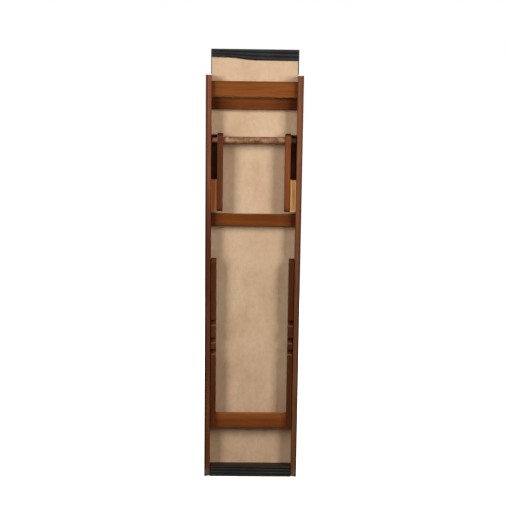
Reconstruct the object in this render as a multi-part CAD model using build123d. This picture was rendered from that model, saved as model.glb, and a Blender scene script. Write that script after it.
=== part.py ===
from build123d import *
import os

# Folding pet ramp, stood on its lower end with the legs folded in. Millimetres.
# +Z runs up the length of the ramp, +X to the right, and -Y is the underside with the folding legs.
# The walking side faces +Y. The origin is at the middle of the footprint, on the floor.

# ---- Driving dimensions ----
WIDTH = 394.0  # outside faces of the side rails
RAIL_THICKNESS = 23.0
RAIL_DEPTH = 70.0
RAIL_TOP = 1697.0
RAIL_BOTTOM = 6.8  # the mat's wrap alone carries the stood-up ramp
DECK_TOP = 1801.0  # the deck overhangs the rails at the top
GUARD_Z = (5.0, 13.0)  # rubber guard in the outer corner at a rail's lower end
GUARD_WIDTH = 9.0
EDGE_ROUND = 5.0  # eased long edges of the rails
BAR_ROUND = 2.5  # eased edges of the smaller bars
END_ROUND = 1.2

BOARD_UNDERSIDE_Y = 15.0
BOARD_THICKNESS = 6.0
MAT_THICKNESS = 6.0
MAT_WIDTH = 347.0  # between the side rails
MAT_TIP_WIDTH = 353.0  # above them, where nothing holds its edges in
MAT_TIP_GAP = 1.0  # from the rails' tops to where the mat widens
MAT_TOP_LIP = 33.0  # how far the mat is turned down over the underside at the top
MAT_BOTTOM_LIP = 48.0  # height of the turned-up mat at the floor end
MAT_BEND = 4.0

# Crossbars between the side rails: front face, bottom and top.
TOP_CROSSBAR = (-20.0, 1609.5, 1673.0)
TOP_BATTEN = (-3.0, 1559.5, 1606.0)
MIDDLE_CROSSBAR = (-15.0, 1084.5, 1133.0)
BOTTOM_CROSSBAR = (-24.0, MAT_THICKNESS, 49.0)

# Leg frame, folded up between the side rails.
LEG_THICKNESS = 22.0
LEG_DEPTH = 38.0
LEG_GAP = 2.0  # between a leg rail and its side rail
LEG_PIVOT_Y = -12.0
LEG_PIVOT_Z = 930.5
LEG_BOTTOM = 228.0
LEG_CROSSBAR_DEPTH = 20.0
LEG_CROSSBAR_Z = (223.0, 284.0)
NOTCH_HEIGHTS = (678.0, 602.5, 553.0)
NOTCH_RADIUS = 12.2
NOTCH_SEAT = 2.7  # depth of the seat's centre below the leg's front face

# Prop frame, folded up above the leg frame.
PROP_THICKNESS = 23.0
PROP_GAP = 1.2  # between a prop rail and its pivot block
PROP_PIVOT_Y = -14.0
PROP_PIVOT_Z = 1163.5
PROP_TOP = 1465.0
DOWEL_Z = 1436.0
DOWEL_RADIUS = 14.8
DOWEL_END_RADIUS = 11.4
DOWEL_REACH = 171.5  # half the dowel's whole length

# Pivot blocks and bumper strips in the channels beside the prop rails.
BLOCK_THICKNESS = 23.8
BLOCK_FRONT_Y = -20.0
BLOCK_Z = (1144.5, 1276.5)
STRIP_X = (150.6, 172.6)
STRIP_FRONT_Y = -0.8
STRIP_Z = (1277.5, 1457.5)

# Fasteners.
BOLT_RADIUS = 4.0
BOLT_CLEARANCE = 0.08
BOLT_HEAD_RADIUS = 8.0
BOLT_HEAD_HEIGHT = 4.2
BOLT_HEAD_ROUND = 1.5
COUNTERBORE_RADIUS = 9.5
COUNTERBORE_DEPTH = 5.2
SEAT_CLEARANCE = 0.3  # axial play under a bolt's head
HEX_SOCKET_RADIUS = 2.9
HEX_SOCKET_DEPTH = 2.6
INSERT_RADIUS = 6.0
INSERT_LENGTH = 16.0
INSERT_FLOOR = 1.0  # closed end of the insert
WASHER_RADIUS = 11.0
WASHER_BORE_RADIUS = 4.2
LEG_WASHER_THICKNESS = 1.6
PROP_WASHER_THICKNESS = 0.9
RAIL_SCREW = (2.5, 60.0, 4.8)  # each screw's shank radius, length and head radius
BOARD_SCREW = (1.8, 20.0, 3.5)
BLOCK_SCREW = (2.2, 44.0, 4.2)
LEG_SCREW = (2.2, 50.0, 4.2)
BOARD_SCREW_X = (-150.0, -50.0, 50.0, 150.0)
BLOCK_SCREW_DROPS = (20.0, 60.0)  # below the top of a pivot block
SCREW_HEAD_RIM = 0.4
RECESS_SPAN = 1.1  # a cross recess, as shares of the head's radius
RECESS_WIDTH = 0.26
RECESS_HEIGHT = 0.7
SCREW_RECESS = 0.6  # how far a screw's head lies below the wood
SCREW_ROW_OFFSET = 9.5  # each screw's distance above or below a crossbar's middle
STAPLE_CROWN = 11.0
STAPLE_WIRE = 1.1
STAPLE_FLAT = 0.7
STAPLE_LEG = 10.0
STAPLE_X = (-144.0, -72.0, 0.0, 72.0, 144.0)
STAPLE_DROP = 11.0  # below the upper edge of the mat's lower lip
OVERSHOOT = 1.0  # how far a cutting shape reaches past the face it cuts
TOLERANCE = 0.1

# ---- Places worked out from the driving dimensions ----
RAIL_OUTER = WIDTH / 2
RAIL_INNER = RAIL_OUTER - RAIL_THICKNESS
RAIL_FRONT = -RAIL_DEPTH / 2
BOARD_BACK_Y = BOARD_UNDERSIDE_Y + BOARD_THICKNESS
MAT_BACK_Y = BOARD_BACK_Y + MAT_THICKNESS
BOARD_TOP = DECK_TOP - MAT_THICKNESS
LEG_OUTER = RAIL_INNER - LEG_GAP
LEG_INNER = LEG_OUTER - LEG_THICKNESS
LEG_FRONT_Y = LEG_PIVOT_Y - LEG_DEPTH / 2
BLOCK_INNER = RAIL_INNER - BLOCK_THICKNESS
PROP_OUTER = BLOCK_INNER - PROP_GAP
PROP_INNER = PROP_OUTER - PROP_THICKNESS
PROP_END_RADIUS = LEG_DEPTH / 2


# ---- Helpers ----
def block(x, y, z):
    """A box given its low and high value along each axis."""
    size = Box(x[1] - x[0], y[1] - y[0], z[1] - z[0])
    return Pos((x[0] + x[1]) / 2, (y[0] + y[1]) / 2, (z[0] + z[1]) / 2) * size


def bar(x, y, z, long_axis, radius):
    """A box whose edges along one axis are rounded."""
    body = block(x, y, z)
    return fillet(body.edges().filter_by(long_axis), radius)


def rod(x, y, z, radius):
    """A cylinder along X between two values of x."""
    return Pos((x[0] + x[1]) / 2, y, z) * Rot(0, 90, 0) * Cylinder(radius, x[1] - x[0])


def side_slab(profile, x):
    """A profile drawn in Y and Z, given thickness along X."""
    return extrude(Plane.YZ.offset(x[0]) * profile, amount=x[1] - x[0])


def mirrored(solid):
    """The left-hand twin of a right-hand piece."""
    return mirror(solid, about=Plane.YZ)


def both_sides(solids):
    """A group of right-hand solids with their left-hand twins."""
    return list(solids) + [mirrored(solid) for solid in solids]


def cut_by(body, tools):
    """A body with each tool taken out of it."""
    for tool in tools:
        body = body - tool
    return body


def save(name, *solids):
    """Write one node, as one solid or as a group of separate solids."""
    shapes = [solid for shape in solids for solid in shape.solids()]
    node = shapes[0] if len(shapes) == 1 else Compound(children=shapes)
    export_step(node, f"parts/{name}.step")


def save_pair(name, right):
    """Write a right-hand piece and its left-hand twin as two nodes."""
    save(f"{name}_right", right)
    save(f"{name}_left", mirrored(right))


# ---- Fasteners ----
def screw_blank(radius, length, head_radius):
    """A countersunk wood screw without its recess: head at the origin, tip along -Z."""
    taper_end = SCREW_HEAD_RIM + head_radius - radius
    outline = Polyline(
        (0, 0),
        (head_radius, 0),
        (head_radius, -SCREW_HEAD_RIM),
        (radius, -taper_end),
        (radius, -(length - 2 * radius)),
        (0, -length),
        (0, 0),
    )
    return revolve(Plane.XZ * make_face(outline), Axis.Z)


def cross_recess(head_radius):
    """The cross-shaped socket in a screw's head."""
    arm = Box(RECESS_SPAN * head_radius, RECESS_WIDTH * head_radius, RECESS_HEIGHT * head_radius)
    return arm + Rot(0, 0, 90) * arm


class Screws:
    """Identical screws at several places: the pilot shapes to cut, and the screws themselves."""

    def __init__(self, radius, length, head_radius, places):
        blank = screw_blank(radius, length, head_radius)
        screw = blank - cross_recess(head_radius)
        self.pilots = [place * blank for place in places]
        self.solids = [place * screw for place in places]


def crossbar_screw_places():
    """Two screws through the right side rail into the end of each crossbar."""
    places = []
    for front, low, high in (TOP_CROSSBAR, TOP_BATTEN, MIDDLE_CROSSBAR, BOTTOM_CROSSBAR):
        middle_y = (front + BOARD_UNDERSIDE_Y) / 2
        middle_z = (low + high) / 2
        for offset in (-SCREW_ROW_OFFSET, SCREW_ROW_OFFSET):
            places.append(Pos(RAIL_OUTER - SCREW_RECESS, middle_y, middle_z + offset) * Rot(0, 90, 0))
    return places


def board_screw_places():
    """Four screws through the board into each crossbar, heads on the walking side."""
    places = []
    for front, low, high in (TOP_CROSSBAR, TOP_BATTEN, MIDDLE_CROSSBAR, BOTTOM_CROSSBAR):
        for x in BOARD_SCREW_X:
            places.append(Pos(x, BOARD_BACK_Y, (low + high) / 2) * Rot(-90, 0, 0))
    return places


def block_screw_places():
    """Two screws from each pivot block's inner face into the side rail."""
    middle_y = (BLOCK_FRONT_Y + BOARD_UNDERSIDE_Y) / 2
    return [
        Pos(BLOCK_INNER + SCREW_RECESS, middle_y, BLOCK_Z[1] - drop) * Rot(0, -90, 0)
        for drop in BLOCK_SCREW_DROPS
    ]


def leg_screw_places():
    """Two screws through the right leg rail into the end of the leg crossbar."""
    middle_z = (LEG_CROSSBAR_Z[0] + LEG_CROSSBAR_Z[1]) / 2
    return [
        Pos(LEG_OUTER - SCREW_RECESS, LEG_FRONT_Y + LEG_CROSSBAR_DEPTH / 2, middle_z + offset) * Rot(0, 90, 0)
        for offset in (-SCREW_ROW_OFFSET, SCREW_ROW_OFFSET)
    ]


def pivot_bolt(y, z, wood_face):
    """A socket-head bolt from the side rail's counterbore into the insert behind wood_face."""
    seat = RAIL_OUTER - COUNTERBORE_DEPTH + SEAT_CLEARANCE
    head = rod((seat, seat + BOLT_HEAD_HEIGHT), y, z, BOLT_HEAD_RADIUS)
    head = fillet(head.edges().group_by(Axis.X)[-1], BOLT_HEAD_ROUND)
    shank = rod((wood_face - INSERT_LENGTH + INSERT_FLOOR, seat), y, z, BOLT_RADIUS)
    socket_face = Plane.YZ.offset(seat + BOLT_HEAD_HEIGHT - HEX_SOCKET_DEPTH)
    hexagon = Pos(y, z) * RegularPolygon(HEX_SOCKET_RADIUS, 6)
    socket = extrude(socket_face * hexagon, amount=HEX_SOCKET_DEPTH + OVERSHOOT)
    return head + shank - socket


def pivot_insert(y, z, wood_face):
    """The threaded insert pressed into a moving rail, holding the end of its bolt."""
    span = (wood_face - INSERT_LENGTH, wood_face)
    bore = rod((wood_face - INSERT_LENGTH + INSERT_FLOOR, wood_face), y, z, BOLT_RADIUS)
    return rod(span, y, z, INSERT_RADIUS) - bore


def pivot_washer(y, z, wood_face, thickness):
    """The spacer washer on a pivot bolt, against the moving rail."""
    span = (wood_face, wood_face + thickness)
    return rod(span, y, z, WASHER_RADIUS) - rod(span, y, z, WASHER_BORE_RADIUS)


def insert_hole(y, z, wood_face):
    return rod((wood_face - INSERT_LENGTH, wood_face), y, z, INSERT_RADIUS)


def pivot_bore(y, z, inner_face):
    """The running bore of a pivot bolt, with its counterbore in the side rail."""
    bore = rod((inner_face, RAIL_OUTER), y, z, BOLT_RADIUS + BOLT_CLEARANCE)
    mouth = rod((RAIL_OUTER - COUNTERBORE_DEPTH, RAIL_OUTER), y, z, COUNTERBORE_RADIUS)
    return bore + mouth


def staple(x, z, face_y):
    """A staple sunk flush into the mat: crown behind face_y, legs along +Y."""
    half = STAPLE_CROWN / 2
    wire_z = (z - STAPLE_WIRE / 2, z + STAPLE_WIRE / 2)
    crown = block((x - half, x + half), (face_y, face_y + STAPLE_FLAT), wire_z)
    leg_span = (face_y, face_y + STAPLE_LEG)
    left_leg = block((x - half, x - half + STAPLE_FLAT), leg_span, wire_z)
    right_leg = block((x + half - STAPLE_FLAT, x + half), leg_span, wire_z)
    return crown + left_leg + right_leg


# ---- Fixed frame ----
def rail_blank():
    """The right side rail's outer shape, down to the foot of its corner guard."""
    span = (GUARD_Z[0], RAIL_TOP)
    blank = bar((RAIL_INNER, RAIL_OUTER), (RAIL_FRONT, -RAIL_FRONT), span, Axis.Z, EDGE_ROUND)
    return fillet(blank.edges().group_by(Axis.Z)[-1], END_ROUND)


def guard_region():
    """The outer corner at a rail's lower end, which its guard fills."""
    width = (RAIL_OUTER - GUARD_WIDTH, RAIL_OUTER + OVERSHOOT)
    depth = (RAIL_FRONT - OVERSHOOT, OVERSHOOT - RAIL_FRONT)
    return block(width, depth, (GUARD_Z[0] - OVERSHOOT, GUARD_Z[1]))


def rail_corner_guard():
    """The rubber guard let into the outer corner at the right rail's lower end."""
    return rail_blank() & guard_region()


def side_rail(screws):
    """The right side rail, bored for both pivots and for its screws."""
    depth = (RAIL_FRONT - OVERSHOOT, OVERSHOOT - RAIL_FRONT)
    below = block((RAIL_INNER - OVERSHOOT, RAIL_OUTER), depth, (GUARD_Z[0] - OVERSHOOT, RAIL_BOTTOM))
    bores = [
        pivot_bore(LEG_PIVOT_Y, LEG_PIVOT_Z, RAIL_INNER),
        pivot_bore(PROP_PIVOT_Y, PROP_PIVOT_Z, RAIL_INNER),
    ]
    return cut_by(rail_blank(), [guard_region(), below] + bores + screws)


def crossbar(size, screws):
    """One crossbar between the side rails, its back against the board."""
    front, low, high = size
    body = bar((-RAIL_INNER, RAIL_INNER), (front, BOARD_UNDERSIDE_Y), (low, high), Axis.X, BAR_ROUND)
    return cut_by(body, screws)


def deck_board(screws):
    board = block((-RAIL_INNER, RAIL_INNER), (BOARD_UNDERSIDE_Y, BOARD_BACK_Y), (MAT_THICKNESS, BOARD_TOP))
    return cut_by(board, screws)


def traction_mat():
    """The mat over the walking side, turned over both ends: outline in Y and Z."""
    top_front = BOARD_UNDERSIDE_Y - MAT_THICKNESS
    bottom_front = BOTTOM_CROSSBAR[0] - MAT_THICKNESS
    outline = Polyline(
        (top_front, BOARD_TOP - MAT_TOP_LIP),
        (top_front, DECK_TOP),
        (MAT_BACK_Y, DECK_TOP),
        (MAT_BACK_Y, 0),
        (bottom_front, 0),
        (bottom_front, MAT_BOTTOM_LIP),
        (BOTTOM_CROSSBAR[0], MAT_BOTTOM_LIP),
        (BOTTOM_CROSSBAR[0], MAT_THICKNESS),
        (BOARD_BACK_Y, MAT_THICKNESS),
        (BOARD_BACK_Y, BOARD_TOP),
        (BOARD_UNDERSIDE_Y, BOARD_TOP),
        (BOARD_UNDERSIDE_Y, BOARD_TOP - MAT_TOP_LIP),
        (top_front, BOARD_TOP - MAT_TOP_LIP),
    )
    half_tip = MAT_TIP_WIDTH / 2
    depth = (top_front - OVERSHOOT, MAT_BACK_Y + OVERSHOOT)
    tip_region = block((-half_tip, half_tip), depth, (RAIL_TOP + MAT_TIP_GAP, DECK_TOP))
    tip = side_slab(make_face(outline), (-half_tip, half_tip)) & tip_region
    mat = side_slab(make_face(outline), (-MAT_WIDTH / 2, MAT_WIDTH / 2)) + tip
    edges = mat.edges().filter_by(Axis.X)
    bends = [edge for edge in edges if is_outer_bend(edge.center(), top_front, bottom_front)]
    return fillet(bends, MAT_BEND)


def is_outer_bend(point, top_front, bottom_front):
    """Whether an edge of the mat is one of its four outside bends."""
    at_end = point.Z < TOLERANCE or point.Z > DECK_TOP - TOLERANCE
    outer_y = (top_front, bottom_front, MAT_BACK_Y)
    return at_end and any(abs(point.Y - y) < TOLERANCE for y in outer_y)


def pivot_block(screws):
    """The wooden spacer that carries the prop's pivot, on the right side rail."""
    body = bar((BLOCK_INNER, RAIL_INNER), (BLOCK_FRONT_Y, BOARD_UNDERSIDE_Y), BLOCK_Z, Axis.Z, END_ROUND)
    bore = rod((BLOCK_INNER, RAIL_INNER), PROP_PIVOT_Y, PROP_PIVOT_Z, BOLT_RADIUS + BOLT_CLEARANCE)
    return cut_by(body, [bore] + screws)


def bumper_strip():
    """The rubber strip behind the right end of the folded dowel."""
    return bar(STRIP_X, (STRIP_FRONT_Y, BOARD_UNDERSIDE_Y), STRIP_Z, Axis.Z, BAR_ROUND)


# ---- Leg frame ----
def leg_profile():
    """A leg rail in Y and Z: a round pivot end, and three notches in the front face."""
    length = LEG_PIVOT_Z - LEG_BOTTOM
    profile = Pos(LEG_PIVOT_Y, LEG_BOTTOM + length / 2) * Rectangle(LEG_DEPTH, length)
    profile += Pos(LEG_PIVOT_Y, LEG_PIVOT_Z) * Circle(LEG_DEPTH / 2)
    for height in NOTCH_HEIGHTS:
        profile -= Pos(LEG_FRONT_Y + NOTCH_SEAT, height) * Circle(NOTCH_RADIUS)
        profile -= Pos(LEG_FRONT_Y, height) * Rectangle(2 * NOTCH_SEAT, 2 * NOTCH_RADIUS)
    return profile


def leg_rail(screws):
    rail = side_slab(leg_profile(), (LEG_INNER, LEG_OUTER))
    rail = fillet(rail.faces().filter_by(Axis.X).edges(), BAR_ROUND)
    hole = insert_hole(LEG_PIVOT_Y, LEG_PIVOT_Z, LEG_OUTER)
    return cut_by(rail, [hole] + screws)


def leg_crossbar(screws):
    depth = (LEG_FRONT_Y, LEG_FRONT_Y + LEG_CROSSBAR_DEPTH)
    body = bar((-LEG_INNER, LEG_INNER), depth, LEG_CROSSBAR_Z, Axis.X, BAR_ROUND)
    return cut_by(body, screws)


# ---- Prop frame ----
def prop_rail():
    """The right prop rail: round at both ends, with the dowel through it."""
    low = PROP_PIVOT_Z
    high = PROP_TOP - PROP_END_RADIUS
    profile = Pos(PROP_PIVOT_Y, (low + high) / 2) * Rectangle(LEG_DEPTH, high - low)
    profile += Pos(PROP_PIVOT_Y, low) * Circle(PROP_END_RADIUS)
    profile += Pos(PROP_PIVOT_Y, high) * Circle(PROP_END_RADIUS)
    rail = side_slab(profile, (PROP_INNER, PROP_OUTER))
    rail = fillet(rail.faces().filter_by(Axis.X).edges(), BAR_ROUND)
    dowel_hole = rod((PROP_INNER, PROP_OUTER), PROP_PIVOT_Y, DOWEL_Z, DOWEL_END_RADIUS)
    hole = insert_hole(PROP_PIVOT_Y, PROP_PIVOT_Z, PROP_OUTER)
    return cut_by(rail, [dowel_hole, hole])


def prop_dowel():
    """The crossbar of the prop: thick between its rails, with turned-down ends."""
    middle = rod((-PROP_INNER, PROP_INNER), PROP_PIVOT_Y, DOWEL_Z, DOWEL_RADIUS)
    ends = rod((-DOWEL_REACH, DOWEL_REACH), PROP_PIVOT_Y, DOWEL_Z, DOWEL_END_RADIUS)
    tips = ends.edges().group_by(Axis.X)
    ends = chamfer(tips[0] + tips[-1], END_ROUND)
    return middle + ends


# ---- Assembly ----
def write_fixed_frame():
    rail_screws = Screws(*RAIL_SCREW, crossbar_screw_places())
    board_screws = Screws(*BOARD_SCREW, board_screw_places())
    block_screws = Screws(*BLOCK_SCREW, block_screw_places())

    save_pair("side_rail", side_rail(rail_screws.pilots + block_screws.pilots))
    end_pilots = both_sides(rail_screws.pilots) + board_screws.pilots
    save("top_crossbar", crossbar(TOP_CROSSBAR, end_pilots))
    save("top_batten", crossbar(TOP_BATTEN, end_pilots))
    save("middle_crossbar", crossbar(MIDDLE_CROSSBAR, end_pilots))
    save("bottom_crossbar", crossbar(BOTTOM_CROSSBAR, end_pilots))
    save("deck_board", deck_board(board_screws.pilots))
    save("traction_mat", traction_mat())
    save_pair("rail_corner_guard", rail_corner_guard())
    save_pair("pivot_block", pivot_block(block_screws.pilots))
    save_pair("bumper_strip", bumper_strip())

    save("crossbar_screws", *both_sides(rail_screws.solids))
    save("board_screws", *board_screws.solids)
    save("block_screws", *both_sides(block_screws.solids))
    save("mat_staples", *mat_staples())


def mat_staples():
    """Staples through both turned-over ends of the mat."""
    top_place = (BOARD_TOP - MAT_TOP_LIP / 2, BOARD_UNDERSIDE_Y - MAT_THICKNESS)
    bottom_place = (MAT_BOTTOM_LIP - STAPLE_DROP, BOTTOM_CROSSBAR[0] - MAT_THICKNESS)
    return [staple(x, z, face_y) for z, face_y in (top_place, bottom_place) for x in STAPLE_X]


def write_leg_frame():
    screws = Screws(*LEG_SCREW, leg_screw_places())
    save_pair("leg_rail", leg_rail(screws.pilots))
    save("leg_crossbar", leg_crossbar(both_sides(screws.pilots)))
    save("leg_screws", *both_sides(screws.solids))
    save_pair("leg_pivot_bolt", pivot_bolt(LEG_PIVOT_Y, LEG_PIVOT_Z, LEG_OUTER))
    save_pair("leg_pivot_insert", pivot_insert(LEG_PIVOT_Y, LEG_PIVOT_Z, LEG_OUTER))
    save_pair("leg_pivot_washer", pivot_washer(LEG_PIVOT_Y, LEG_PIVOT_Z, LEG_OUTER, LEG_WASHER_THICKNESS))


def write_prop_frame():
    save_pair("prop_rail", prop_rail())
    save("prop_dowel", prop_dowel())
    save_pair("prop_pivot_bolt", pivot_bolt(PROP_PIVOT_Y, PROP_PIVOT_Z, PROP_OUTER))
    save_pair("prop_pivot_insert", pivot_insert(PROP_PIVOT_Y, PROP_PIVOT_Z, PROP_OUTER))
    washer = pivot_washer(PROP_PIVOT_Y, PROP_PIVOT_Z, PROP_OUTER, PROP_WASHER_THICKNESS)
    save_pair("prop_pivot_washer", washer)


os.makedirs("parts", exist_ok=True)
write_fixed_frame()
write_leg_frame()
write_prop_frame()
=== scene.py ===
import math

import bmesh
import bpy
from mathutils import Matrix, Vector


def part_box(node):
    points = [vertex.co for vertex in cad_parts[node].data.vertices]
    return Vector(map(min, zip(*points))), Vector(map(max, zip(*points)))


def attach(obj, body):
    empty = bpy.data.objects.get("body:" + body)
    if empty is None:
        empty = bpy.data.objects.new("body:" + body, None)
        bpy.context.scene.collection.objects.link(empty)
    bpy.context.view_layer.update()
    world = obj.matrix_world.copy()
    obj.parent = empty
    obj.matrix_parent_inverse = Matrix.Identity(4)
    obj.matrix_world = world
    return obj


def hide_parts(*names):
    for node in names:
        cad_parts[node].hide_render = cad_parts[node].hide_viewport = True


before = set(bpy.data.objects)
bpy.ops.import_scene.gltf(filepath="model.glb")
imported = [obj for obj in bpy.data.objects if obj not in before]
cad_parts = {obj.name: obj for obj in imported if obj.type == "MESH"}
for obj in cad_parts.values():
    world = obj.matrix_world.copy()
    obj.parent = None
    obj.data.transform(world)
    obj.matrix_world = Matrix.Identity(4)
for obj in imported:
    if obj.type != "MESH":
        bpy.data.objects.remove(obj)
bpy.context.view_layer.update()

# Looks of a folding pet ramp, stood on its floor end with its legs folded in. Metres.
# +Z runs up the ramp, +X across it, and -Y is the underside that faces the camera.


def linear(red, green, blue):
    """A colour from 0 to 255, as seen on a screen, turned into linear values by the sRGB curve."""
    def one(value):
        value = value / 255
        return value / 12.92 if value <= 0.04045 else ((value + 0.055) / 1.055) ** 2.4
    return one(red), one(green), one(blue)


WHITE = (1.0, 1.0, 1.0)

# ---- Camera ----
CAMERA_PLACE = Vector((-0.056, -4.2, 1.6917))
CAMERA_YAW = 0.0141  # radians, towards +X
CAMERA_PITCH = 0.1708  # radians, downwards
CAMERA_ROLL = 0.0124
CAMERA_LENS = 72.83  # millimetres, like the sensor's width
SENSOR_WIDTH = 36.0
VIEW_DISTANCE = 100.0

# ---- Light ----
SOFTBOX_SIZE = (1.0, 1.9)  # width and height
SOFTBOX_PLACE = (2.5, -2.0, 2.35)  # the right one; the left one is its mirror image
SOFTBOX_TARGET = (0.0, 0.0, 1.1)
SOFTBOX_POWER = 91.0
FILL_SIZE = (1.6, 1.6)
FILL_PLACE = (0.0, -3.2, 0.3)
FILL_POWER = 2.5
FILL_COLOUR = (1.0, 0.86, 0.72)
BACK_LIGHT_SIZE = (2.5, 2.5)
BACK_LIGHT_PLACE = (0.0, 3.5, 1.8)
BACK_LIGHT_POWER = 70.0
WORLD_AMBIENT = (0.082, 0.063, 0.050)
FLOOR_HALF = 30.0
FLOOR_GREY = 0.9
FLOOR_ROUGHNESS = 0.9
FLOOR_GLOW_NEAR = 0.9  # leaves room for a faint contact shadow
FLOOR_GLOW_FAR = 1.0
FLOOR_FADE = (0.4, 2.2)  # where the glow starts and stops growing, from the middle of the ramp

# ---- Ribbed mat ----
RIB_PITCH = 0.013033
RIB_START = 0.936  # puts a crest on the top end at the left, and one on the bottom end
RIB_SLANT = 0.0125  # how far the ribs run askew, in metres for each metre across
RIB_STEP = RIB_PITCH / 8
RIB_HEIGHT = 0.0037
RELIEF = "rib_relief"  # the mesh attribute that tells the rubber shader crest from groove
RIB_SQUARENESS = 0.6  # 1 is a plain sine, and less makes broader ribs
BACKING = 0.0021  # thickness of the mat between its ribs
TOP_LIP = 0.033  # how far it is turned down over the underside
BOTTOM_LIP_TOP = 0.048
LIP_SAG = 0.012  # how much lower the top lip hangs on the right than on the left
LIP_SAG_X = -0.055
LIP_SAG_LENGTH = 0.022
LEFT_TIP = 0.1772  # half widths above the rails, where the mat reaches past the board
RIGHT_TIP = 0.1785
TIP_CLEARANCE = 2.0 * RIB_STEP  # height above the rails where the mat gets that wide
EDGE_GAP = 0.003  # between the rails the mat is this much narrower on each side than its CAD stand-in
BEND_RADIUS = 0.0012
BEND_STEPS = 5
MAT_COLUMNS = 36

# ---- Textures: scale along X, Y and Z, and the settings of the noise ----
GRAIN_STRETCH = {"X": (1.0, 30.0, 30.0), "Z": (30.0, 30.0, 1.0), "blotchy": (110.0, 90.0, 90.0)}
COARSE_GRAIN = 0.5  # times the stretch
FINE_GRAIN = 7.0
COARSE_NOISE = {"detail": 6.0, "roughness": 0.6, "distortion": 0.4}
FINE_NOISE = {"detail": 3.0, "roughness": 0.7}
WOOD_PATCHES = {"scale": (3.0, 3.0, 3.0), "detail": 2.0, "roughness": 0.55}
BOARD_CLOUDS = {"scale": (9.0, 9.0, 6.0), "detail": 5.0, "roughness": 0.6, "distortion": 0.3}
BOARD_MOTTLE = {"scale": (60.0, 60.0, 45.0), "detail": 3.0, "roughness": 0.6}
BOARD_SPECKS = {"scale": (130.0, 130.0, 85.0), "offset": (3.0, 0.0, 1.0), "detail": 2.0, "roughness": 0.5}
RUBBER_GRAIN = 420.0
NYLON_GRAIN = 900.0
RUBBER_SKIN = {"detail": 2.0, "roughness": 0.5}
RUBBER_DUST = {"scale": (14.0, 14.0, 14.0), "detail": 5.0, "roughness": 0.65}
BRUSH_LINES = {"scale": (900.0, 160.0, 160.0), "detail": 2.0, "roughness": 0.5}
TARNISH = {"scale": (70.0, 70.0, 70.0), "detail": 4.0, "roughness": 0.6}

# ---- Ramps: places on the ramp with the colour, or the share of the colour, that lies there ----
GRAIN_STOPS = (0.28, 0.5, 0.74)  # of a wood's dark, middle and light colour
STREAK_TONES = ((0.30, (0.66, 0.60, 0.54)), (0.52, WHITE), (0.75, (1.10, 1.08, 1.04)))
PATCH_TONES = ((0.3, (0.86, 0.83, 0.80)), (0.7, (1.08, 1.06, 1.04)))
BOARD_COLOURS = ((0.30, linear(201, 169, 135)), (0.5, linear(212, 181, 148)), (0.72, linear(219, 191, 159)))
MOTTLE_TONES = ((0.35, (0.93, 0.92, 0.90)), (0.6, WHITE))
SPECK_TONES = ((0.27, (0.86, 0.82, 0.78)), (0.36, WHITE))
BOARD_FALLOFF_SHADE_TONES = ((0.3, (0.98, 0.95, 0.94)), (0.75, WHITE))  # painted shade that deepens towards the floor, by metres above it
DUST_TONES = ((0.35, 0.75), (0.7, 1.35))
TARNISH_TONES = ((0.3, 0.7), (0.65, 1.0))
GROOVE_SHADE_TONES = ((0.45, 0.28), (0.98, 1.0))  # painted shade in the grooves of the mat, full colour on its crests

# ---- Surfaces: bumps are a strength and a height, spreads are added to a roughness ----
WOOD_SPECULAR = 0.16
WOOD_SPREAD = (-0.08, 0.16)
WOOD_BUMP = (0.25, 0.0006)
RAIL_ROUGHNESS = 0.5
BAR_ROUGHNESS = 0.42
LEG_ROUGHNESS = 0.5
DOWEL_ROUGHNESS = 0.6
BARE_ROUGHNESS = 0.65
BOARD_SPECULAR = 0.3
BOARD_ROUGHNESS = (0.55, 0.75)
BOARD_BUMP = (0.15, 0.0004)
RUBBER_SPECULAR = 0.25
RUBBER_SPREAD = (-0.06, 0.12)
RUBBER_BUMP = (0.3, 0.0003)
METAL_SPREAD = (-0.08, 0.14)
METAL_BUMP = (0.2, 0.0002)

# ---- Marks on the wood, with painted shade and painted highlights among them ----
SHADE_BLUR = 0.0012
# Painted shade along each rail's rounded outer front edge: the strip's width on each side
LEFT_EDGE_STRIP = 0.008
RIGHT_EDGE_STRIP = 0.005
RAIL_FRONT_FADE = (-0.031, -0.024)  # the painted shade runs over the front edge only
# A greyer floor end on each rail: how high it reaches, the blur of its edge and its strength
RAIL_FOOT_TOP = 0.048
RAIL_FOOT_BLUR = 0.022
RAIL_FOOT_STRENGTH = 0.75
PROP_END_DARK = 0.0065
PROP_END_STRENGTH = 0.85
# Painted highlight on the lower lip of each notch of the leg rails
NOTCH_HEIGHTS = (0.553, 0.6025, 0.678)
NOTCH_LIGHT_RANGE = (0.50, 0.72)  # metres up the leg rails
NOTCH_LIGHT_PROFILE = ((-0.0155, 0.0), (-0.0130, 0.35), (-0.0115, 0.35), (-0.0095, 0.0))
DOWEL_END_START = 0.151

# ---- Colours: the dark, middle and light one of each board ----
LEFT_RAIL_WOOD = (linear(88, 46, 27), linear(120, 69, 45), linear(148, 94, 66))
RIGHT_RAIL_WOOD = (linear(102, 60, 38), linear(134, 82, 55), linear(158, 102, 72))
TOP_BAR_WOOD = (linear(112, 56, 18), linear(138, 79, 33), linear(158, 98, 48))
BATTEN_WOOD = (linear(94, 46, 13), linear(118, 62, 21), linear(142, 82, 36))
MIDDLE_BAR_WOOD = (linear(88, 42, 10), linear(112, 57, 16), linear(132, 74, 28))
BOTTOM_BAR_WOOD = (linear(34, 17, 10), linear(48, 26, 17), linear(64, 38, 26))
LEG_BAR_WOOD = (linear(104, 50, 17), linear(129, 70, 27), linear(150, 90, 44))
LEG_WOOD = (linear(62, 26, 7), linear(87, 43, 15), linear(110, 61, 29))
LEFT_PROP_WOOD = (linear(82, 40, 18), linear(104, 54, 30), linear(126, 72, 44))
RIGHT_PROP_WOOD = (linear(92, 46, 18), linear(118, 63, 29), linear(140, 82, 44))
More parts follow.
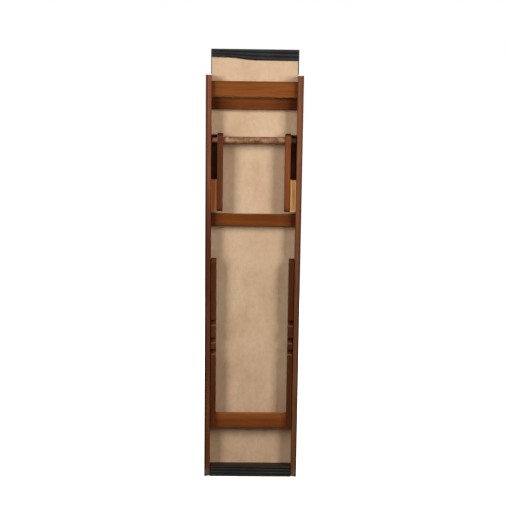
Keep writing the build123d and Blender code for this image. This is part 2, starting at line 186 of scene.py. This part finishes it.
DOWEL_WOOD = (linear(84, 52, 34), linear(140, 100, 72), linear(200, 160, 126))
# Painted light and shade on the pivot blocks: the left one is darkened for the rail's shade on it, and the
# right one is lifted past its bare wood for light
LEFT_BLOCK_SHADED_WOOD = (linear(166, 94, 48), linear(194, 120, 66), linear(214, 142, 86))
RIGHT_BLOCK_LIT_WOOD = (linear(255, 186, 108), linear(255, 204, 128), linear(255, 220, 150))

# ---- Tint up each rail, by the share of its height; it is darker below its top quarter ----
LEFT_RAIL_TONES = (
    (0.09, (0.79, 0.82, 0.61)),
    (0.40, (0.53, 0.56, 0.54)),
    (0.60, (0.47, 0.32, 0.25)),
    (0.78, WHITE),
)
RIGHT_RAIL_TONES = (
    (0.09, (0.74, 0.87, 0.71)),
    (0.40, (0.70, 0.71, 0.71)),
    (0.60, (0.65, 0.60, 0.50)),
    (0.78, WHITE),
)

# ---- Colours and tints of the marks ----
# Painted shade at both ends of each crossbar, next to the rails
BAR_END_SHADE_TINT = (0.50, 0.42, 0.45)
RAIL_EDGE_SHADE_TINT = (0.42, 0.34, 0.30)
# Painted shadow on the right end of the dowel
DOWEL_END_SHADE_TINT = (0.36, 0.30, 0.28)
RAIL_FOOT_COLOUR = linear(102, 88, 76)
NOTCH_HIGHLIGHT = linear(150, 116, 86)
END_GRAIN = linear(44, 22, 10)

# ---- Colour and roughness of the rubber and metal pieces ----
MAT_RUBBER = (linear(44, 45, 45), 0.55)
# Painted light: the bumper strips are lighter and browner than their near-black rubber, to make up for the
# deep shade between the rails
LIT_STRIP_RUBBER = (linear(106, 80, 58), 0.8)
GUARD_RUBBER = (linear(38, 37, 35), 0.6)
NYLON = (linear(46, 45, 44), 0.45)
BRASS = (linear(186, 156, 96), 0.35)
ZINC_STEEL = (linear(168, 166, 160), 0.34)
STAPLE_STEEL = (linear(70, 68, 66), 0.5)

# ---- Sockets of a Mix node that mixes colours ----
MIX_FACTOR = 0
MIX_FIRST = 6
MIX_SECOND = 7
MIX_RESULT = 2


# ---- Shader helpers ----
class Shader:
    """A material under construction: a Principled shader and short calls that add nodes."""

    def __init__(self, name):
        self.material = bpy.data.materials.new(name)
        self.material.use_nodes = True
        self.tree = self.material.node_tree
        self.nodes = self.tree.nodes
        self.principled = self.nodes["Principled BSDF"]
        self.place = self.nodes.new("ShaderNodeTexCoord").outputs["Object"]

    def link(self, source, target):
        self.tree.links.new(source, target)

    def set(self, values):
        """Constant values, set straight on the shader's own sockets."""
        for socket, value in values.items():
            self.principled.inputs[socket].default_value = value

    def noise(self, scale, detail, roughness, distortion=0.0, offset=(0.0, 0.0, 0.0)):
        """Noise over the piece's own coordinates, which are scaled along each axis."""
        mapping = self.nodes.new("ShaderNodeMapping")
        mapping.inputs["Scale"].default_value = scale
        mapping.inputs["Location"].default_value = offset
        self.link(self.place, mapping.inputs["Vector"])
        texture = self.nodes.new("ShaderNodeTexNoise")
        self.link(mapping.outputs["Vector"], texture.inputs["Vector"])
        texture.inputs["Scale"].default_value = 1.0
        texture.inputs["Detail"].default_value = detail
        texture.inputs["Roughness"].default_value = roughness
        texture.inputs["Distortion"].default_value = distortion
        return texture.outputs["Fac"]

    def ramp(self, value, stops):
        """A colour ramp: stops are (position, colour)."""
        node = self.nodes.new("ShaderNodeValToRGB")
        elements = node.color_ramp.elements
        while len(elements) < len(stops):
            elements.new(0.5)
        for element, (position, colour) in zip(elements, stops):
            element.position = position
            element.color = (*colour, 1.0)
        self.link(value, node.inputs["Fac"])
        return node.outputs["Color"]

    def mix(self, factor, first, second, blend="MIX"):
        """Mixes two colours; each may be a socket or a constant."""
        node = self.nodes.new("ShaderNodeMix")
        node.data_type = "RGBA"
        node.blend_type = blend
        for value, number in ((factor, MIX_FACTOR), (first, MIX_FIRST), (second, MIX_SECOND)):
            socket = node.inputs[number]
            if hasattr(value, "is_linked"):
                self.link(value, socket)
            else:
                socket.default_value = value if isinstance(value, float) else (*value, 1.0)
        return node.outputs[MIX_RESULT]

    def tinted(self, colour, tint):
        """The colour multiplied by a tint."""
        return self.mix(1.0, colour, tint, "MULTIPLY")

    def between(self, value, start, end, low=0.0, high=1.0):
        """Runs from low to high while the value runs from start to end."""
        node = self.nodes.new("ShaderNodeMapRange")
        node.inputs["From Min"].default_value = start
        node.inputs["From Max"].default_value = end
        node.inputs["To Min"].default_value = low
        node.inputs["To Max"].default_value = high
        self.link(value, node.inputs["Value"])
        return node.outputs["Result"]

    def scaled(self, value, low, high):
        """A value from 0 to 1, mapped to a new range."""
        return self.between(value, 0.0, 1.0, low, high)

    def along(self, axis):
        """One of the piece's own coordinates, in metres."""
        parts = self.nodes.new("ShaderNodeSeparateXYZ")
        self.link(self.place, parts.inputs["Vector"])
        return parts.outputs[axis]

    def size_of(self, value):
        """The value without its sign."""
        node = self.nodes.new("ShaderNodeMath")
        node.operation = "ABSOLUTE"
        self.link(value, node.inputs[0])
        return node.outputs["Value"]

    def attribute(self, name):
        """A value stored on the mesh."""
        node = self.nodes.new("ShaderNodeAttribute")
        node.attribute_name = name
        return node.outputs["Fac"]

    def surface(self, colour, roughness, relief, bump):
        """Joins a colour, a roughness and a bump map to the shader."""
        strength, height = bump
        self.link(colour, self.principled.inputs["Base Color"])
        self.link(roughness, self.principled.inputs["Roughness"])
        node = self.nodes.new("ShaderNodeBump")
        node.inputs["Strength"].default_value = strength
        node.inputs["Distance"].default_value = height
        self.link(relief, node.inputs["Height"])
        self.link(node.outputs["Normal"], self.principled.inputs["Normal"])


def around(middle, spread):
    """The two ends of a range about a middle value."""
    return [middle + step for step in spread]


def shades(colour, tones):
    """Ramp stops that hold the colour at several strengths."""
    return [(position, tuple(tone * part for part in colour)) for position, tone in tones]


# ---- Materials ----
def wood(name, grain_axis, colours, roughness, seed, marks):
    """Stained or bare wood with its grain along one axis. Marks repaint parts of the colour."""
    shader = Shader(name)
    stretch = GRAIN_STRETCH[grain_axis]
    coarse = shader.noise([COARSE_GRAIN * s for s in stretch], **COARSE_NOISE, offset=(seed, seed, seed))
    fine = shader.noise([FINE_GRAIN * s for s in stretch], **FINE_NOISE, offset=(seed, 0.0, seed))
    patches = shader.noise(**WOOD_PATCHES, offset=(seed, seed, 0.0))
    colour = shader.ramp(coarse, list(zip(GRAIN_STOPS, colours)))
    colour = shader.tinted(colour, shader.ramp(fine, STREAK_TONES))
    colour = shader.tinted(colour, shader.ramp(patches, PATCH_TONES))
    if marks:
        colour = marks(shader, colour)
    shader.surface(colour, shader.scaled(fine, *around(roughness, WOOD_SPREAD)), fine, WOOD_BUMP)
    shader.set({"Specular IOR Level": WOOD_SPECULAR})
    return shader.material


def rail_marks(edge_width, tones):
    """A tint that varies up the rail, painted shade in a darker strip along its rounded outer front edge,
    and a greyer lower end.
    """
    _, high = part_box("side_rail_right")

    def paint(shader, colour):
        edge = high.x - edge_width
        outer = shader.between(shader.size_of(shader.along("X")), edge - SHADE_BLUR, edge + SHADE_BLUR)
        front = shader.between(shader.along("Y"), *RAIL_FRONT_FADE, 1.0, 0.0)
        height = shader.between(shader.along("Z"), 0.0, high.z)
        colour = shader.tinted(colour, shader.ramp(height, tones))
        # painted shade on the rail's outer front edge
        edge_shaded = shader.mix(front, colour, shader.tinted(colour, RAIL_EDGE_SHADE_TINT))
        colour = shader.mix(outer, colour, edge_shaded)
        # greyer towards the floor end
        low_end = shader.between(shader.along("Z"), RAIL_FOOT_TOP - RAIL_FOOT_BLUR, RAIL_FOOT_TOP, RAIL_FOOT_STRENGTH, 0.0)
        return shader.mix(low_end, colour, RAIL_FOOT_COLOUR)

    return paint


def bar_end_shade(strength, start, end):
    """Painted shade towards both ends of a crossbar, where the rails at its ends shade it, from start to end
    in metres off the middle.
    """
    def paint(shader, colour):
        painted_end_shade = shader.between(shader.size_of(shader.along("X")), start, end, 0.0, strength)
        return shader.mix(painted_end_shade, colour, shader.tinted(colour, BAR_END_SHADE_TINT))

    return paint


def notch_highlights(shader, colour):
    """Painted highlight on the lower lip of each notch, where its lower wall catches the light."""
    low, high = NOTCH_LIGHT_RANGE
    stops = []
    for height in NOTCH_HEIGHTS:
        for offset, strength in NOTCH_LIGHT_PROFILE:
            stops.append(((height + offset - low) / (high - low), (strength, strength, strength)))
    lit_lip = shader.ramp(shader.between(shader.along("Z"), low, high), stops)
    return shader.mix(lit_lip, colour, NOTCH_HIGHLIGHT)


def prop_marks(shader, colour):
    """Dark end grain at the top of a prop rail."""
    _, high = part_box("prop_rail_left")
    start = high.z - 2.0 * PROP_END_DARK
    end = shader.between(shader.along("Z"), start, high.z - PROP_END_DARK, 0.0, PROP_END_STRENGTH)
    return shader.mix(end, colour, END_GRAIN)


def dowel_end_shade(shader, colour):
    """Painted shadow on the dowel's right end, where the right rail and the prop rail shade it: it is darker
    than the rest.
    """
    end = shader.between(shader.along("X"), DOWEL_END_START, DOWEL_END_START + 2.0 * SHADE_BLUR)
    return shader.mix(end, colour, shader.tinted(colour, DOWEL_END_SHADE_TINT))


def board_material():
    """The pale deck board: soft mottling, with small darker flecks."""
    shader = Shader("deck_board_face")
    mottle = shader.noise(**BOARD_MOTTLE)
    colour = shader.ramp(shader.noise(**BOARD_CLOUDS), BOARD_COLOURS)
    colour = shader.tinted(colour, shader.ramp(mottle, MOTTLE_TONES))
    colour = shader.tinted(colour, shader.ramp(shader.noise(**BOARD_SPECKS), SPECK_TONES))
    # Painted shade: the board darkens towards the floor, where less light reaches it
    colour = shader.tinted(colour, shader.ramp(shader.along("Z"), BOARD_FALLOFF_SHADE_TONES))
    shader.surface(colour, shader.scaled(mottle, *BOARD_ROUGHNESS), mottle, BOARD_BUMP)
    shader.set({"Specular IOR Level": BOARD_SPECULAR})
    return shader.material


def rubber_material(name, shade, roughness, grain=RUBBER_GRAIN, relief=None):
    """Black rubber or plastic with a fine pebbled skin and a little dust.

    Relief names a mesh attribute, 0 in a groove and 1 on a crest, that paints shade into the grooves.
    """
    shader = Shader(name)
    skin = shader.noise((grain, grain, grain), **RUBBER_SKIN)
    dust = shader.noise(**RUBBER_DUST)
    colour = shader.ramp(dust, shades(shade, DUST_TONES))
    if relief:
        colour = shader.tinted(colour, shader.ramp(shader.attribute(relief), shades(WHITE, GROOVE_SHADE_TONES)))
    shader.surface(colour, shader.scaled(dust, *around(roughness, RUBBER_SPREAD)), skin, RUBBER_BUMP)
    shader.set({"Specular IOR Level": RUBBER_SPECULAR})
    return shader.material


def metal_material(name, colour, roughness):
    """Plated or turned metal with fine brush lines and slight tarnish."""
    shader = Shader(name)
    lines = shader.noise(**BRUSH_LINES)
    tarnished = shader.ramp(shader.noise(**TARNISH), shades(colour, TARNISH_TONES))
    shader.surface(tarnished, shader.scaled(lines, *around(roughness, METAL_SPREAD)), lines, METAL_BUMP)
    shader.set({"Metallic": 1.0})
    return shader.material


def assign(nodes, material):
    """Gives some CAD nodes one material."""
    for node in nodes:
        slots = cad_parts[node].data.materials
        slots.clear()
        slots.append(material)


def both(*names):
    """The left and right node of each name."""
    return [f"{name}_{side}" for name in names for side in ("left", "right")]


def dress_wood():
    """A wood material for each piece, so that no two boards share a figure."""
    left_rail = rail_marks(LEFT_EDGE_STRIP, LEFT_RAIL_TONES)
    right_rail = rail_marks(RIGHT_EDGE_STRIP, RIGHT_RAIL_TONES)
    top_ends = bar_end_shade(strength=0.35, start=0.125, end=0.160)
    batten_ends = bar_end_shade(strength=1.0, start=0.060, end=0.150)
    middle_ends = bar_end_shade(strength=0.85, start=0.115, end=0.165)
    leg_bar_ends = bar_end_shade(strength=0.9, start=0.125, end=0.150)
    pieces = (
        # node, axis of its grain, colours, roughness, seed of its figure, marks
        ("side_rail_left", "Z", LEFT_RAIL_WOOD, RAIL_ROUGHNESS, 3.7, left_rail),
        ("side_rail_right", "Z", RIGHT_RAIL_WOOD, RAIL_ROUGHNESS, 7.4, right_rail),
        ("top_crossbar", "X", TOP_BAR_WOOD, BAR_ROUGHNESS, 11.5, top_ends),
        ("top_batten", "X", BATTEN_WOOD, BAR_ROUGHNESS, 13.8, batten_ends),
        ("middle_crossbar", "X", MIDDLE_BAR_WOOD, BAR_ROUGHNESS, 16.1, middle_ends),
        ("bottom_crossbar", "X", BOTTOM_BAR_WOOD, BAR_ROUGHNESS, 18.4, None),
        ("leg_crossbar", "X", LEG_BAR_WOOD, BAR_ROUGHNESS, 20.7, leg_bar_ends),
        ("leg_rail_left", "Z", LEG_WOOD, LEG_ROUGHNESS, 20.4, notch_highlights),
        ("leg_rail_right", "Z", LEG_WOOD, LEG_ROUGHNESS, 22.1, notch_highlights),
        ("prop_rail_left", "Z", LEFT_PROP_WOOD, LEG_ROUGHNESS, 23.8, prop_marks),
        ("prop_rail_right", "Z", RIGHT_PROP_WOOD, LEG_ROUGHNESS, 25.5, prop_marks),
        ("prop_dowel", "blotchy", DOWEL_WOOD, DOWEL_ROUGHNESS, 31.0, dowel_end_shade),
        ("pivot_block_left", "Z", LEFT_BLOCK_SHADED_WOOD, BARE_ROUGHNESS, 58.0, None),
        ("pivot_block_right", "Z", RIGHT_BLOCK_LIT_WOOD, BARE_ROUGHNESS, 60.9, None),
    )
    for node, *look in pieces:
        assign([node], wood(f"wood_{node}", *look))


def dress_rest():
    """Materials of the board, the rubber pieces and the hardware."""
    nylon = rubber_material("washer_nylon", *NYLON, grain=NYLON_GRAIN)
    screws = ["crossbar_screws", "board_screws", "block_screws", "leg_screws"]
    bolts = both("leg_pivot_bolt", "prop_pivot_bolt")
    assign(["deck_board"], board_material())
    assign(both("bumper_strip"), rubber_material("strip_rubber", *LIT_STRIP_RUBBER))
    assign(both("rail_corner_guard"), rubber_material("guard_rubber", *GUARD_RUBBER))
    assign(both("leg_pivot_washer", "prop_pivot_washer"), nylon)
    assign(both("leg_pivot_insert", "prop_pivot_insert"), metal_material("insert_brass", *BRASS))
    assign(screws + bolts, metal_material("zinc_steel", *ZINC_STEEL))
    assign(["mat_staples"], metal_material("staple_steel", *STAPLE_STEEL))


# ---- Mat ----
def mat_corners():
    """Corners of the mat's inner line in Y and Z, from its top lip round to its lip at the floor end."""
    board_low, board_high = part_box("deck_board")
    bar_low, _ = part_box("bottom_crossbar")
    return [
        Vector((board_low.y, board_high.z - TOP_LIP)),
        Vector((board_low.y, board_high.z)),
        Vector((board_high.y, board_high.z)),
        Vector((board_high.y, bar_low.z)),
        Vector((bar_low.y, bar_low.z)),
        Vector((bar_low.y, BOTTOM_LIP_TOP)),
    ]


def outward(direction):
    """The side that faces away from the board, for a direction along the inner line."""
    return Vector((-direction.y, direction.x))


def mat_line(corners):
    """Points along the mat's inner line, each with its outward direction and its distance from the start."""
    line = []
    travelled = 0.0
    place = corners[0]
    directions = [(b - a).normalized() for a, b in zip(corners, corners[1:])]
    for i, direction in enumerate(directions):
        last = i == len(directions) - 1
        end = corners[i + 1] - direction * (0.0 if last else BEND_RADIUS)
        steps = max(1, round((end - place).length / RIB_STEP))
        for k in range(steps):
            here = place.lerp(end, k / steps)
            line.append((here, outward(direction), travelled + (here - place).length))
        travelled += (end - place).length
        if last:
            line.append((end, outward(direction), travelled))
            break
        centre = end - outward(direction) * BEND_RADIUS
        arc = BEND_RADIUS * math.pi / 2
        for k in range(BEND_STEPS):
            angle = math.pi / 2 * k / BEND_STEPS
            normal = outward(direction) * math.cos(angle) + direction * math.sin(angle)
            line.append((centre + normal * BEND_RADIUS, normal, travelled + arc * k / BEND_STEPS))
        place = centre + direction * BEND_RADIUS
        travelled += arc
    return line


def rib_crest(distance):
    """Round-topped ribs: 0 in a groove and 1 on a crest."""
    return math.sin(math.pi * ((distance / RIB_PITCH + RIB_START) % 1.0)) ** RIB_SQUARENESS


def lip_drop(x, distance):
    """How much lower the loose top lip hangs at x: the mat was pulled over unevenly."""
    share = max(0.0, 1.0 - distance / TOP_LIP)
    sag = 1.0 / (1.0 + math.exp(-(x - LIP_SAG_X) / LIP_SAG_LENGTH))
    return share * LIP_SAG * (sag - 0.5)


def mat_rows(mesh):
    """The mat's vertices: a row across it for each point of the inner line, in inner and outer pairs."""
    _, mat_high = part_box("traction_mat")
    _, rail_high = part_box("side_rail_left")
    inner = mat_high.x - EDGE_GAP
    relief = mesh.verts.layers.float.new(RELIEF)
    rows = []
    for point, normal, distance in mat_line(mat_corners()):
        above_rails = point.y > rail_high.z + TIP_CLEARANCE
        left, right = (-LEFT_TIP, RIGHT_TIP) if above_rails else (-inner, inner)
        row = []
        for column in range(MAT_COLUMNS + 1):
            x = left + (right - left) * column / MAT_COLUMNS
            crest = rib_crest(distance + RIB_SLANT * x)
            outer = point + normal * (BACKING + RIB_HEIGHT * crest)
            drop = lip_drop(x, distance)
            back = mesh.verts.new((x, point.x, point.y - drop))
            ribbed = mesh.verts.new((x, outer.x, outer.y - drop))
            ribbed[relief] = crest
            row.append((back, ribbed))
        rows.append(row)
    return rows


def mat_faces(mesh, rows):
    """Closes the mat: its ribbed side, its flat side, its two long edges and its two ends."""
    for a, b in zip(rows, rows[1:]):
        for c in range(MAT_COLUMNS):
            mesh.faces.new((a[c][1], a[c + 1][1], b[c + 1][1], b[c][1]))
            mesh.faces.new((a[c][0], b[c][0], b[c + 1][0], a[c + 1][0]))
        for c in (0, MAT_COLUMNS):
            mesh.faces.new((a[c][0], a[c][1], b[c][1], b[c][0]))
    for row in (rows[0], rows[-1]):
        for c in range(MAT_COLUMNS):
            mesh.faces.new((row[c][0], row[c + 1][0], row[c + 1][1], row[c][1]))
    bmesh.ops.recalc_face_normals(mesh, faces=mesh.faces)


def mat_mesh():
    """The mat as one closed surface."""
    mesh = bmesh.new()
    mat_faces(mesh, mat_rows(mesh))
    data = bpy.data.meshes.new("ribbed_mat")
    mesh.to_mesh(data)
    mesh.free()
    data.shade_smooth()
    return data


def build_mat():
    """The ribbed rubber mat, wrapped over both ends of the deck."""
    piece = bpy.data.objects.new("ribbed_mat", mat_mesh())
    bpy.context.scene.collection.objects.link(piece)
    piece.data.materials.append(rubber_material("mat_rubber", *MAT_RUBBER, relief=RELIEF))
    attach(piece, "frame")
    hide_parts("traction_mat")


# ---- Stage ----
def area_light(name, place, size, power, colour=WHITE):
    """A rectangular light that the camera doesn't see, aimed at the ramp."""
    light = bpy.data.lights.new(name, "AREA")
    light.shape = "RECTANGLE"
    light.size, light.size_y = size
    light.energy = power
    light.color = colour
    holder = bpy.data.objects.new(name, light)
    holder.location = place
    holder.rotation_euler = (Vector(SOFTBOX_TARGET) - Vector(place)).to_track_quat("-Z", "Y").to_euler()
    holder.visible_camera = False
    bpy.context.scene.collection.objects.link(holder)


def build_lights():
    """A tall softbox on each side in front, a weak warm fill, and a soft light on the back."""
    across, depth, height = SOFTBOX_PLACE
    area_light("softbox_left", (-across, depth, height), SOFTBOX_SIZE, SOFTBOX_POWER)
    area_light("softbox_right", (across, depth, height), SOFTBOX_SIZE, SOFTBOX_POWER)
    area_light("fill_low", FILL_PLACE, FILL_SIZE, FILL_POWER, FILL_COLOUR)
    area_light("back_light", BACK_LIGHT_PLACE, BACK_LIGHT_SIZE, BACK_LIGHT_POWER)


def build_world():
    """White to the camera, and a low even light on the object."""
    world = bpy.data.worlds.new("studio")
    bpy.context.scene.world = world
    world.use_nodes = True
    nodes = world.node_tree.nodes
    links = world.node_tree.links
    path = nodes.new("ShaderNodeLightPath")
    colour = nodes.new("ShaderNodeValToRGB")
    ambient, white = colour.color_ramp.elements
    ambient.color = (*WORLD_AMBIENT, 1.0)
    white.color = (*WHITE, 1.0)
    links.new(path.outputs["Is Camera Ray"], colour.inputs["Fac"])
    links.new(colour.outputs["Color"], nodes["Background"].inputs["Color"])


def floor_material():
    """White that glows a little less round the ramp, so that its contact shadow shows there."""
    shader = Shader("floor_white")
    distance = shader.nodes.new("ShaderNodeVectorMath")
    distance.operation = "LENGTH"
    shader.link(shader.place, distance.inputs[0])
    near, far = FLOOR_FADE
    glow = shader.between(distance.outputs["Value"], near, far, FLOOR_GLOW_NEAR, FLOOR_GLOW_FAR)
    shader.link(glow, shader.principled.inputs["Emission Strength"])
    shader.set({
        "Base Color": (FLOOR_GREY, FLOOR_GREY, FLOOR_GREY, 1.0),
        "Roughness": FLOOR_ROUGHNESS,
        "Specular IOR Level": 0.0,
        "Emission Color": (*WHITE, 1.0),
    })
    return shader.material


def build_floor():
    """A plain white floor that runs into the background."""
    mesh = bmesh.new()
    bmesh.ops.create_grid(mesh, x_segments=1, y_segments=1, size=FLOOR_HALF)
    data = bpy.data.meshes.new("floor")
    mesh.to_mesh(data)
    mesh.free()
    floor = bpy.data.objects.new("floor", data)
    bpy.context.scene.collection.objects.link(floor)
    data.materials.append(floor_material())
    floor.visible_diffuse = False
    floor.visible_glossy = False


def build_camera():
    """The camera, a little lower than the upper end of the ramp and pitched down."""
    camera = bpy.data.cameras.new("camera")
    camera.sensor_width = SENSOR_WIDTH
    camera.lens = CAMERA_LENS
    camera.clip_end = VIEW_DISTANCE
    holder = bpy.data.objects.new("camera", camera)
    forward = Vector((
        math.sin(CAMERA_YAW) * math.cos(CAMERA_PITCH),
        math.cos(CAMERA_YAW) * math.cos(CAMERA_PITCH),
        -math.sin(CAMERA_PITCH),
    ))
    level = forward.to_track_quat("-Z", "Y").to_matrix().to_4x4()
    roll = Matrix.Rotation(CAMERA_ROLL, 4, "Z")
    holder.matrix_world = Matrix.Translation(CAMERA_PLACE) @ level @ roll
    bpy.context.scene.collection.objects.link(holder)
    bpy.context.scene.camera = holder


def set_view():
    """Plain colours, so that white is white."""
    view = bpy.context.scene.view_settings
    view.view_transform = "Standard"
    view.look = "None"


build_camera()
build_world()
build_lights()
build_floor()
set_view()
dress_wood()
dress_rest()
build_mat()
